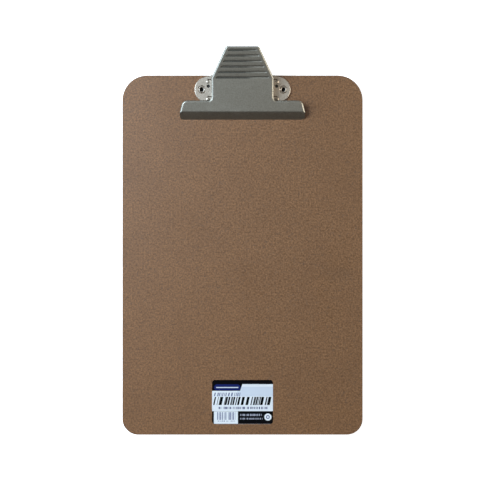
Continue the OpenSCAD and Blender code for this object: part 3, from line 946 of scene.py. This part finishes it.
def make_label_print():
    """Printed paper: plain bands and bars, with strokes where a maker would have wording."""
    material, tree, shader = finish_start("label_print", Specular_IOR_Level=0.03)
    speckle = use(tree, grain, {"Size": 0.5 * MM, "Contrast": 0.4})
    middle = (label_lo + label_hi) / 2

    def area(x, y, half_x, half_y, rounding=0.1, slant=0.0):
        """A patch, in millimetres from the label's middle."""
        return use(tree, patch, {"Centre": (middle.x + x * MM, middle.y + y * MM, 0), "Slant": slant,
                                 "Half size": (half_x * MM, half_y * MM, 1), "Round": rounding * MM})["Mask"]

    def wording(mask, pitch, cover, slant=0.0):
        """Upright strokes inside a mask, with their pitch in millimetres."""
        lines = use(tree, strokes, {"Pitch": pitch * MM, "Cover": cover, "Slant": slant})["Mask"]
        return sums(tree, "MULTIPLY", mask, lines)

    colour = tint(tree, speckle["Value"], PAPER_DULL, PAPER)
    layers = [
        (area(12.5, 10.0, 17.5, 4.6, 0.5), PAPER_SHADE),
        (area(0, 19.5, 30, 2.4), INK), (area(-15.6, 14.6, 14.6, 3.9, 0.1, 0.35), INK),
        (area(-20, 14.6, 10, 3.9), INK),
        (area(-14.6, 13.9, 12.6, 3.0, 2.9), BLUE), (area(-14.6, 13.9, 10.6, 0.45, 0.4), PAPER_SHADE),
        (wording(area(-14.6, 7.2, 12.4, 1.7, 0.1, 0.25), 1.5, 0.55, 0.25), GREY_INK),
        (wording(area(0.0, 1.0, 27.3, 3.9, 0.1, 0.22), 2.3, 0.62, 0.22), INK),
        (wording(area(0.6, -5.7, 23.5, 1.1), 1.2, 0.55), NAVY_INK),
        (area(0, -14.9, 30, 6.1), INK),
        (area(-15.9, -14.9, 11.5, 5.9), PAPER),
        (wording(area(-15.9, -13.4, 9.3, 3.7), 0.9, 0.55), GREY_INK),
        (wording(area(-15.9, -18.3, 8.5, 0.6), 0.8, 0.4), GREY_INK),
        (wording(area(8.1, -12.4, 10.3, 0.95), 1.2, 0.7), SILVER_INK),
        (wording(area(8.6, -16.0, 10.8, 0.75), 1.1, 0.65), SILVER_INK),
        (area(24.3, -14.4, 3.45, 3.45, 3.4), PAPER), (area(24.3, -14.4, 1.8, 1.8, 1.75), GREY_INK),
        (area(24.3, -14.4, 0.9, 0.9, 0.85), PAPER),
    ]
    for mask, ink in layers:
        colour = tint(tree, mask, colour, ink)
    fill(tree, shader, {"Base Color": colour, "Roughness": stretch(tree, speckle["Value"], 0, 1, 0.32, 0.42),
                        "Normal": relief(tree, speckle["Height"], 0.01 * MM)})
    return material


METAL_RELIEF = 0.02 * MM            # depth of the speckle in plated and drawn steel
STAIN_PLACE, STAIN_HALF = (89.7 * MM, -17 * MM), (14 * MM, 5.5 * MM)    # a faint smudge near the right edge
STAIN_ROUND, STAIN_SOFT = 5.4 * MM, 4.5 * MM
HOLE_R, HOLE_SOFT = 2.2 * MM, 0.2 * MM      # painted shade: a near-black disc on the board's face, standing in for the shade seen through each pilot hole
PILOT_HOLE_SHADE = (0.004, 0.003, 0.003, 1)
SCREEN_PITCH = 1.5 * MM             # of the print on the board's back

FACE_DARK, FACE_LIGHT = (0.112, 0.037, 0.003, 1), (0.308, 0.137, 0.042, 1)
BACK_DARK, BACK_LIGHT = (0.085, 0.045, 0.024, 1), (0.2, 0.118, 0.066, 1)
EDGE_DARK, EDGE_LIGHT = (0.06, 0.028, 0.014, 1), (0.17, 0.088, 0.045, 1)
FIBRE, SPECK = (0.07, 0.035, 0.018, 1), (0.035, 0.016, 0.009, 1)
PAPER, PAPER_DULL, PAPER_SHADE = (0.86, 0.89, 0.93, 1), (0.8, 0.83, 0.89, 1), (0.68, 0.74, 0.84, 1)
INK, NAVY_INK, GREY_INK = (0.004, 0.004, 0.005, 1), (0.08, 0.09, 0.2, 1), (0.2, 0.22, 0.35, 1)
BLUE, SILVER_INK = (0.012, 0.02, 0.12, 1), (0.36, 0.37, 0.45, 1)

board_face, board_back, board_edge = make_board_face(), make_board_back(), make_board_edge()
label_print = make_label_print()
satin_plate = make_metal(
    "satin_plate", (0.285, 0.277, 0.245, 1), (0.42, 0.408, 0.362, 1),
    roughness=0.44, grain_size=1.1 * MM, contrast=0.6, wear=0.7, smudge=0.45)
bright_plate = make_metal(
    "bright_plate", (0.48, 0.43, 0.37, 1), (0.67, 0.6, 0.52, 1),
    roughness=0.42, grain_size=0.9 * MM, contrast=0.6, wear=0.3, smudge=0.4)
rivet_steel = make_metal(
    "rivet_steel", (0.43, 0.39, 0.345, 1), (0.6, 0.54, 0.475, 1),
    roughness=0.4, grain_size=0.7 * MM, contrast=0.5, wear=0.6, smudge=0.3)
# painted shade: near-black steel on the lower side of each groove, for the shade and grime down in it;
# towards the right it is painted lighter, as painted light
groove_shade_plate = make_metal(
    "groove_shade_plate", (0.06, 0.06, 0.056, 1), (0.1, 0.1, 0.09, 1),
    roughness=0.5, grain_size=1.1 * MM, contrast=0.7, wear=0.0, smudge=0.45, painted_light_right=(0.36, 0.35, 0.31, 1))
spring_steel = make_metal(
    "spring_steel", (0.26, 0.27, 0.29, 1), (0.42, 0.43, 0.45, 1),
    roughness=0.32, grain_size=0.6 * MM, contrast=0.5, wear=0.4, smudge=0.3)
# painted shade: near-black steel inside the rivets' hollow ends, where shade falls
bore_painted_shade = make_metal(
    "bore_painted_shade", (0.01, 0.01, 0.01, 1), (0.03, 0.028, 0.025, 1),
    roughness=0.6, grain_size=0.7 * MM, contrast=0.5, wear=0.0, smudge=0.3)


def dress(obj, *layers):
    """Gives a piece its material, then others to the faces that pass their tests."""
    obj.data.materials.clear()
    for material, test in layers:
        obj.data.materials.append(material)
    tests = [test for material, test in layers]
    for face in obj.data.polygons:
        face.material_index = max(i for i, test in enumerate(tests) if test is None or test(face))


def inside_bore(face):
    """Whether a rivet's face is inside its hollow end, where a near-black painted shade goes."""
    spot = face.center
    out = spot - Vector((math.copysign(rivet_x, spot.x), rivet_y, spot.z))
    return out.length < HOLLOW_R + 0.15 * MM and 1.5 * MM < spot.z < plate_top - 0.3 * MM


def in_groove(face):
    """Whether a face is on the lower side of a groove, which is painted dark: painted shade, with grime."""
    number = round((face.center.y - groove_first) / GROOVE_PITCH)
    below = groove_first + number * GROOVE_PITCH - face.center.y
    upper_side = face.normal.z > 0.3 and handle_side(face.center) > GROOVE_INSET
    return 0 <= number < GROOVES and 0 < below < GROOVE_HALF_W and upper_side


FLAT = 0.97                         # a face of the board that leans more than this is its edge

dress(board, (board_edge, None), (board_face, lambda f: f.normal.z > FLAT),
      (board_back, lambda f: f.normal.z < -FLAT))
dress(label, (label_print, None))
dress(base_plate, (bright_plate, None))
# the insides of the rivets' hollow ends get the painted shade
for piece in (rivet_left, rivet_right):
    dress(piece, (rivet_steel, None), (bore_painted_shade, inside_bore))
dress(pin, (rivet_steel, None))
dress(spring, (spring_steel, None))
# the lower sides of the grooves get the painted shade
dress(lever, (satin_plate, None), (groove_shade_plate, in_groove))

# ---------------------------------------------------------------- pieces on the frame

hand_over(board, BOARD_BODY, "hardboard", "board")
hand_over(label, BOARD_BODY, "label_paper", "label")
hand_over(base_plate, BOARD_BODY, "bright_plate", "base_plate")
hand_over(rivet_left, BOARD_BODY, "rivet_steel", "rivet_left")
hand_over(rivet_right, BOARD_BODY, "rivet_steel", "rivet_right")
hand_over(pin, BOARD_BODY, "rivet_steel", "hinge_pin")
hand_over(lever, LEVER_BODY, "satin_plate", "lever")
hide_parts("torsion_spring")
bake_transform(spring)

# ---------------------------------------------------------------- floor, lights and camera

WHITE = (1, 1, 1, 1)
FLOOR_DULL, FLOOR_PALE = (0.84, 0.84, 0.84, 1), (0.88, 0.88, 0.88, 1)

scene = bpy.context.scene
object_mode()
bpy.ops.object.select_all(action="DESELECT")
bpy.ops.mesh.primitive_plane_add(size=6, location=(0, 0, -0.2 * MM))
floor = added("floor")
floor_paint, tree, shader = finish_start("pale_floor", Roughness=0.9, Specular_IOR_Level=0.1)
shade_noise = noise(tree, object_place(tree), 3.0, 2.0)
fill(tree, shader, {"Base Color": tint(tree, shade_noise, FLOOR_DULL, FLOOR_PALE)})
# the camera sees the floor as white, and everything else sees it as it is lit
seen = node(tree, "ShaderNodeLightPath").outputs["Is Camera Ray"]
glow = node(tree, "ShaderNodeEmission", {"Color": WHITE, "Strength": seen})
both = node(tree, "ShaderNodeAddShader", {0: shader.outputs[0], 1: glow.outputs[0]})
fill(tree, tree.nodes["Material Output"], {"Surface": both.outputs[0]})
dress(floor, (floor_paint, None))

CAMERA_H = 1.2
VIEW_W = 459.6 * MM                 # what the camera sees across, at the board's face
VIEW_MIDDLE = (-2.4 * MM, 14.4 * MM)
SENSOR_W = 36
camera = bpy.data.objects.new("camera", bpy.data.cameras.new("camera"))
scene.collection.objects.link(camera)
scene.camera = camera
camera.location = (*VIEW_MIDDLE, board_top + CAMERA_H)
camera.data.sensor_width = SENSOR_W
camera.data.lens = SENSOR_W * CAMERA_H / VIEW_W


def soft_light(name, location, size, power, colour, diffuse=True):
    """A round light aimed at the origin. With diffuse off it only adds reflections."""
    light = bpy.data.objects.new(name, bpy.data.lights.new(name, "AREA"))
    scene.collection.objects.link(light)
    light.data.shape = "DISK"
    light.data.size = size
    light.data.energy = power
    light.data.color = colour
    light.location = location
    light.visible_diffuse = diffuse
    light.rotation_euler = (-Vector(location)).to_track_quat("-Z", "Y").to_euler()


soft_light("high_left", (-0.82, 0.42, 0.94), 0.75, 17.8, (0.73, 0.88, 1.0))
soft_light("low_left", (-1.3, 0.1, 0.55), 1.1, 9.0, (0.7, 0.84, 1.0))
soft_light("low_right", (1.3, 0.1, 0.55), 1.1, 14.5, (1.0, 0.93, 0.82), diffuse=False)

STUDIO_BRIGHT, STUDIO_DIM = 0.37, 0.02      # the studio overhead, and the same ahead and behind
COOL, WARM = (0.88, 0.94, 1.0, 1), (1.0, 0.85, 0.64, 1)     # its left and right

world = bpy.data.worlds.new("studio")
scene.world = world
world.use_nodes = True
tree = world.node_tree
way = node(tree, "ShaderNodeSeparateXYZ", {0: object_place(tree)}).outputs
glow = stretch(tree, sums(tree, "ABSOLUTE", way["Y"]), 0.3, 0.95, STUDIO_BRIGHT, STUDIO_DIM)
sides = tint(tree, stretch(tree, way["X"], -0.15, 0.2), COOL, WARM)
seen = node(tree, "ShaderNodeLightPath").outputs["Is Camera Ray"]
strength = sums(tree, "ADD", sums(tree, "MULTIPLY", glow, sums(tree, "SUBTRACT", 1.0, seen)), seen)
colour = tint(tree, seen, sides, WHITE)
fill(tree, tree.nodes["Background"], {"Color": colour, "Strength": strength})

scene.view_settings.view_transform = "Standard"
